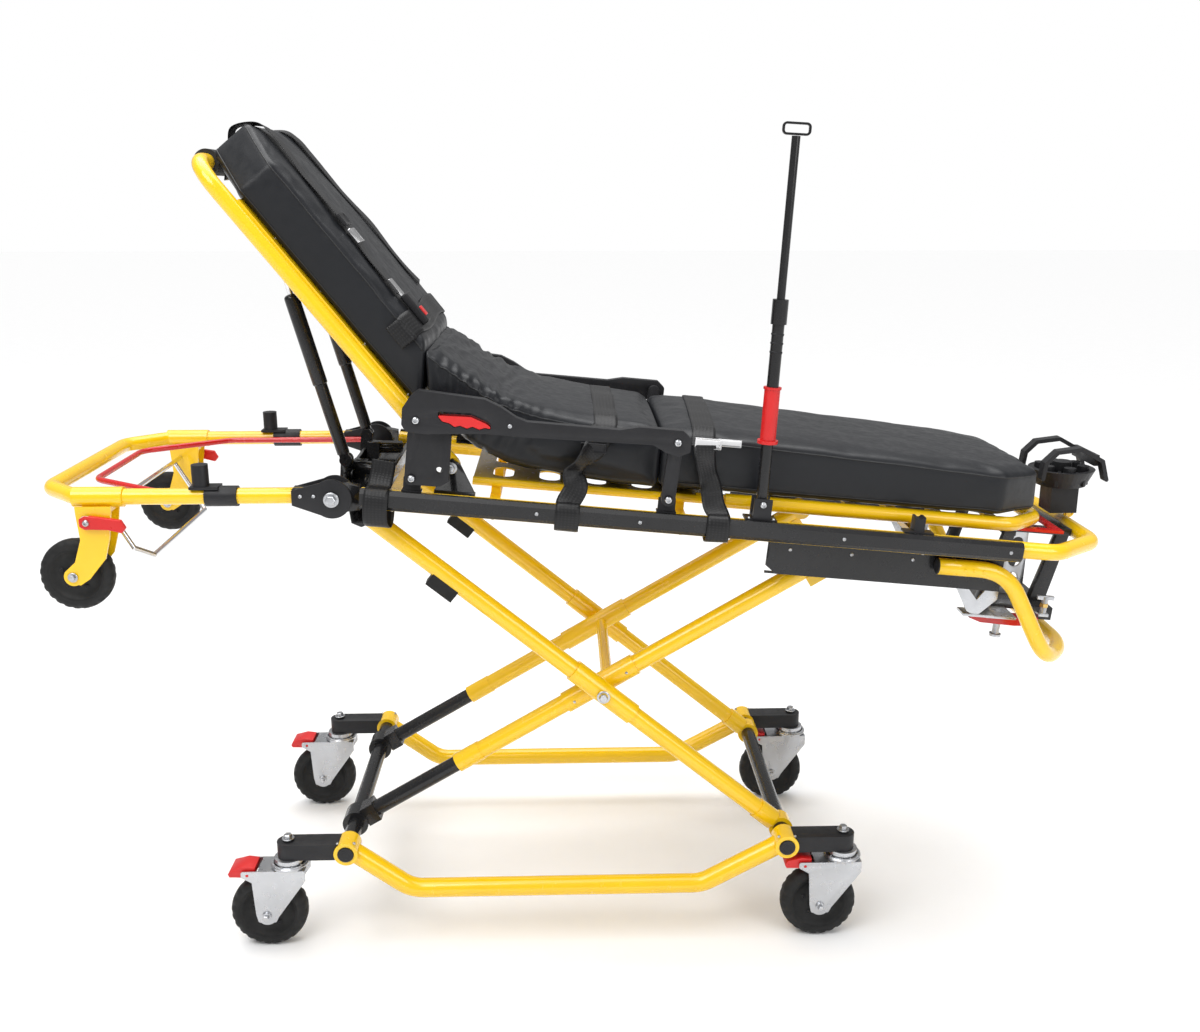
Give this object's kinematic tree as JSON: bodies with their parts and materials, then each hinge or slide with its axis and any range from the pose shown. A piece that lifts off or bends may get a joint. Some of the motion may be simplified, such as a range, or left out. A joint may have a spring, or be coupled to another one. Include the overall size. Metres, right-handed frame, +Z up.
{
  "type": "ambulance cot",
  "caption": "Wheeled X-frame ambulance cot with tilting backrest, folding head loop with load wheels, fold-down armrests, IV pole, restraint straps and swivel casters.",
  "frame": {"origin": "centre of the bounding box at floor level", "axes": "+X towards the foot end, +Y towards the patient's left, +Z up"},
  "size_m": [2.072, 0.642, 1.5685],
  "materials": {
    "frame_yellow": "gloss powder coat",
    "black_steel": "satin black",
    "foam_rubber": "matte",
    "black_plastic": "fine grain",
    "zinc_steel": "zinc plated",
    "vinyl": "coated fabric, fine grain",
    "webbing": "woven",
    "chrome_steel": "polished",
    "red_paint": "gloss",
    "tyre_rubber": "matte"
  },
  "bodies": {
    "base": {"base_side_tubes": "frame_yellow", "base_cross_tubes": "black_steel", "caster_arms": "black_steel"},
    "outer_leg_frame": {"outer_legs": "frame_yellow", "leg_stops": "foam_rubber"},
    "inner_leg_lower": {"inner_leg_lower_tubes": "black_steel"},
    "inner_leg_upper": {"inner_leg_upper_tubes": "frame_yellow", "inner_leg_brace": "frame_yellow"},
    "litter": {"main_frame_tubes": "frame_yellow", "rail_bumpers": "black_plastic", "seat_pan": "frame_yellow", "track_covers": "black_steel", "head_beam": "black_steel", "foot_lift_handle": "frame_yellow", "latch_frame": "black_steel", "latch_plates": "zinc_steel", "accessory_holder": "black_plastic", "rail_clamps": "black_plastic", "mattress_seat": "vinyl", "restraint_straps": "webbing"},
    "backrest": {"backrest_frame": "frame_yellow", "backrest_grip": "foam_rubber", "mattress_back": "vinyl", "shoulder_harness": "webbing"},
    "spring_cylinder": {"gas_spring_cylinder": "black_steel"},
    "spring_rod": {"gas_spring_rod": "chrome_steel"},
    "leg_section": {"leg_frame": "frame_yellow", "mattress_leg": "vinyl"},
    "head_loop": {"head_loop_frame": "frame_yellow", "loop_fittings": "black_steel"},
    "release": {"release_bar": "red_paint"},
    "bail": {"safety_bail": "chrome_steel"},
    "iv_lower": {"iv_pole_lower": "black_steel"},
    "iv_grip": {"iv_pole_grip": "red_paint"},
    "iv_upper": {"iv_pole_upper": "black_steel"},
    "foot_lever": {"foot_release_lever": "red_paint"},
    "foot_trigger": {"foot_trigger_bar": "red_paint"},
    "load_wheel_right": {"load_wheel_right": "tyre_rubber"},
    "load_wheel_left": {"load_wheel_left": "tyre_rubber"},
    "arm_post_head_right": {"arm_post_head_right": "black_steel"},
    "arm_post_foot_right": {"arm_post_foot_right": "black_steel"},
    "armrest_right": {"armrest_right": "black_plastic"},
    "arm_trigger_right": {"arm_trigger_right": "red_paint"},
    "arm_post_head_left": {"arm_post_head_left": "black_steel"},
    "arm_post_foot_left": {"arm_post_foot_left": "black_steel"},
    "armrest_left": {"armrest_left": "black_plastic"},
    "arm_trigger_left": {"arm_trigger_left": "red_paint"},
    "caster_fork_head_right": {"caster_fork_head_right": "zinc_steel"},
    "caster_wheel_head_right": {"caster_wheel_head_right": "tyre_rubber"},
    "caster_pedal_head_right": {"caster_pedal_head_right": "red_paint"},
    "caster_fork_head_left": {"caster_fork_head_left": "zinc_steel"},
    "caster_wheel_head_left": {"caster_wheel_head_left": "tyre_rubber"},
    "caster_pedal_head_left": {"caster_pedal_head_left": "red_paint"},
    "caster_fork_foot_right": {"caster_fork_foot_right": "zinc_steel"},
    "caster_wheel_foot_right": {"caster_wheel_foot_right": "tyre_rubber"},
    "caster_pedal_foot_right": {"caster_pedal_foot_right": "red_paint"},
    "caster_fork_foot_left": {"caster_fork_foot_left": "zinc_steel"},
    "caster_wheel_foot_left": {"caster_wheel_foot_left": "tyre_rubber"},
    "caster_pedal_foot_left": {"caster_pedal_foot_left": "red_paint"}
  },
  "joints": [
    {"name": "fold", "type": "hinge", "parent": "base", "child": "outer_leg_frame", "pos_m": [0.374, 0, 0.205], "axis": [0, -1, 0], "range_deg": [0, 26]},
    {"name": "litter_level", "type": "hinge", "parent": "outer_leg_frame", "child": "litter", "pos_m": [-0.43737, 0, 0.87147], "axis": [0, 1, 0], "range_deg": [-0.5, 20.2]},
    {"name": "inner_leg_swing", "type": "hinge", "parent": "base", "child": "inner_leg_lower", "pos_m": [-0.491, 0, 0.205], "axis": [0, 1, 0], "range_deg": [-0.5, 14.8]},
    {"name": "inner_leg_telescope", "type": "slide", "parent": "inner_leg_lower", "child": "inner_leg_upper", "axis": [-0.8625, 0, -0.506], "range_m": [-0.002, 0.17]},
    {"name": "backrest_tilt", "type": "hinge", "parent": "litter", "child": "backrest", "pos_m": [-0.26696, 0, 0.96122], "axis": [0, 1, 0], "range_deg": [-44, 14]},
    {"name": "spring_swing", "type": "hinge", "parent": "litter", "child": "spring_cylinder", "pos_m": [-0.47965, 0, 0.95294], "axis": [0, 1, 0], "range_deg": [-60, 20]},
    {"name": "spring_stroke", "type": "slide", "parent": "spring_cylinder", "child": "spring_rod", "axis": [-0.2599, 0, 0.9656], "range_m": [-0.14, 0.05]},
    {"name": "leg_section_tilt", "type": "hinge", "parent": "litter", "child": "leg_section", "pos_m": [0.2232, 0, 0.88636], "axis": [0, -1, 0], "range_deg": [0, 14]},
    {"name": "head_loop_fold", "type": "hinge", "parent": "litter", "child": "head_loop", "pos_m": [-0.481, 0, 0.914], "axis": [0, -1, 0], "range_deg": [0, 60]},
    {"name": "release_bar_pull", "type": "slide", "parent": "head_loop", "child": "release", "axis": [-1, 0, 0], "range_m": [0, 0.02], "stiffness_N_per_m": 900, "springref_m": -0.01},
    {"name": "safety_bail_swing", "type": "hinge", "parent": "head_loop", "child": "bail", "pos_m": [-0.919, 0, 0.877], "axis": [0, 1, 0], "range_deg": [-20, 20]},
    {"name": "iv_pole_fold", "type": "hinge", "parent": "litter", "child": "iv_lower", "pos_m": [0.30724, -0.262, 0.89359], "axis": [0, 1, 0], "range_deg": [0, 84]},
    {"name": "iv_grip_slide", "type": "slide", "parent": "iv_lower", "child": "iv_grip", "axis": [0.0563, 0, 0.9984], "range_m": [0, 0.1]},
    {"name": "iv_pole_telescope", "type": "slide", "parent": "iv_lower", "child": "iv_upper", "axis": [0.0563, 0, 0.9984], "range_m": [-0.24, 0]},
    {"name": "foot_lever_press", "type": "hinge", "parent": "litter", "child": "foot_lever", "pos_m": [0.87552, 0, 0.62263], "axis": [0, -1, 0], "range_deg": [0, 8], "stiffness_Nm_per_rad": 6, "springref_deg": -11.46},
    {"name": "foot_trigger_pull", "type": "slide", "parent": "litter", "child": "foot_trigger", "axis": [0.9957, 0, -0.0929], "range_m": [0, 0.015], "stiffness_N_per_m": 600, "springref_m": -0.01},
    {"name": "load_wheel_spin_right", "type": "hinge", "parent": "head_loop", "child": "load_wheel_right", "pos_m": [-0.957, -0.272, 0.772], "axis": [0, 1, 0], "continuous": true},
    {"name": "load_wheel_spin_left", "type": "hinge", "parent": "head_loop", "child": "load_wheel_left", "pos_m": [-0.957, 0.272, 0.772], "axis": [0, 1, 0], "continuous": true},
    {"name": "armrest_fold_right", "type": "hinge", "parent": "litter", "child": "arm_post_head_right", "pos_m": [-0.33625, -0.28, 0.95061], "axis": [0, -1, 0], "range_deg": [0, 72]},
    {"name": "arm_post_follow_right", "type": "hinge", "parent": "litter", "child": "arm_post_foot_right", "pos_m": [0.13072, -0.28, 0.90704], "axis": [0, -1, 0], "range_deg": [-1, 73]},
    {"name": "armrest_level_right", "type": "hinge", "parent": "arm_post_head_right", "child": "armrest_right", "pos_m": [-0.32195, -0.297, 1.06076], "axis": [0, 1, 0], "range_deg": [-1, 73]},
    {"name": "arm_trigger_squeeze_right", "type": "slide", "parent": "armrest_right", "child": "arm_trigger_right", "axis": [0.0929, 0, 0.9957], "range_m": [0, 0.005], "stiffness_N_per_m": 800, "springref_m": -0.003},
    {"name": "armrest_fold_left", "type": "hinge", "parent": "litter", "child": "arm_post_head_left", "pos_m": [-0.33625, 0.28, 0.95061], "axis": [0, -1, 0], "range_deg": [0, 72]},
    {"name": "arm_post_follow_left", "type": "hinge", "parent": "litter", "child": "arm_post_foot_left", "pos_m": [0.13072, 0.28, 0.90704], "axis": [0, -1, 0], "range_deg": [-1, 73]},
    {"name": "armrest_level_left", "type": "hinge", "parent": "arm_post_head_left", "child": "armrest_left", "pos_m": [-0.32195, 0.297, 1.06076], "axis": [0, 1, 0], "range_deg": [-1, 73]},
    {"name": "arm_trigger_squeeze_left", "type": "slide", "parent": "armrest_left", "child": "arm_trigger_left", "axis": [0.0929, 0, 0.9957], "range_m": [0, 0.005], "stiffness_N_per_m": 800, "springref_m": -0.003},
    {"name": "caster_swivel_head_right", "type": "hinge", "parent": "base", "child": "caster_fork_head_right", "pos_m": [-0.606, -0.286, 0.2], "axis": [0, 0, 1], "continuous": true},
    {"name": "caster_spin_head_right", "type": "hinge", "parent": "caster_fork_head_right", "child": "caster_wheel_head_right", "pos_m": [-0.651, -0.286, 0.075], "axis": [0, 1, 0], "continuous": true},
    {"name": "caster_brake_head_right", "type": "hinge", "parent": "caster_fork_head_right", "child": "caster_pedal_head_right", "pos_m": [-0.684, -0.286, 0.164], "axis": [0, -1, 0], "range_deg": [0, 9]},
    {"name": "caster_swivel_head_left", "type": "hinge", "parent": "base", "child": "caster_fork_head_left", "pos_m": [-0.606, 0.286, 0.2], "axis": [0, 0, 1], "continuous": true},
    {"name": "caster_spin_head_left", "type": "hinge", "parent": "caster_fork_head_left", "child": "caster_wheel_head_left", "pos_m": [-0.651, 0.286, 0.075], "axis": [0, 1, 0], "continuous": true},
    {"name": "caster_brake_head_left", "type": "hinge", "parent": "caster_fork_head_left", "child": "caster_pedal_head_left", "pos_m": [-0.684, 0.286, 0.164], "axis": [0, -1, 0], "range_deg": [0, 9]},
    {"name": "caster_swivel_foot_right", "type": "hinge", "parent": "base", "child": "caster_fork_foot_right", "pos_m": [0.489, -0.286, 0.2], "axis": [0, 0, 1], "continuous": true},
    {"name": "caster_spin_foot_right", "type": "hinge", "parent": "caster_fork_foot_right", "child": "caster_wheel_foot_right", "pos_m": [0.444, -0.286, 0.075], "axis": [0, 1, 0], "continuous": true},
    {"name": "caster_brake_foot_right", "type": "hinge", "parent": "caster_fork_foot_right", "child": "caster_pedal_foot_right", "pos_m": [0.411, -0.286, 0.164], "axis": [0, -1, 0], "range_deg": [0, 9]},
    {"name": "caster_swivel_foot_left", "type": "hinge", "parent": "base", "child": "caster_fork_foot_left", "pos_m": [0.489, 0.286, 0.2], "axis": [0, 0, 1], "continuous": true},
    {"name": "caster_spin_foot_left", "type": "hinge", "parent": "caster_fork_foot_left", "child": "caster_wheel_foot_left", "pos_m": [0.444, 0.286, 0.075], "axis": [0, 1, 0], "continuous": true},
    {"name": "caster_brake_foot_left", "type": "hinge", "parent": "caster_fork_foot_left", "child": "caster_pedal_foot_left", "pos_m": [0.411, 0.286, 0.164], "axis": [0, -1, 0], "range_deg": [0, 9]}
  ],
  "couplings": [
    {"joint": "litter_level", "follows": "fold", "ratio": 0.76},
    {"joint": "inner_leg_swing", "follows": "fold", "ratio": 0.55},
    {"joint": "inner_leg_telescope", "follows": "fold", "m_per_rad": 0.3667},
    {"joint": "spring_swing", "follows": "backrest_tilt", "ratio": 1.3316},
    {"joint": "spring_stroke", "follows": "backrest_tilt", "m_per_rad": 0.1675},
    {"joint": "arm_post_follow_right", "follows": "armrest_fold_right", "ratio": 1},
    {"joint": "armrest_level_right", "follows": "armrest_fold_right", "ratio": 1},
    {"joint": "arm_post_follow_left", "follows": "armrest_fold_left", "ratio": 1},
    {"joint": "armrest_level_left", "follows": "armrest_fold_left", "ratio": 1}
  ]
}
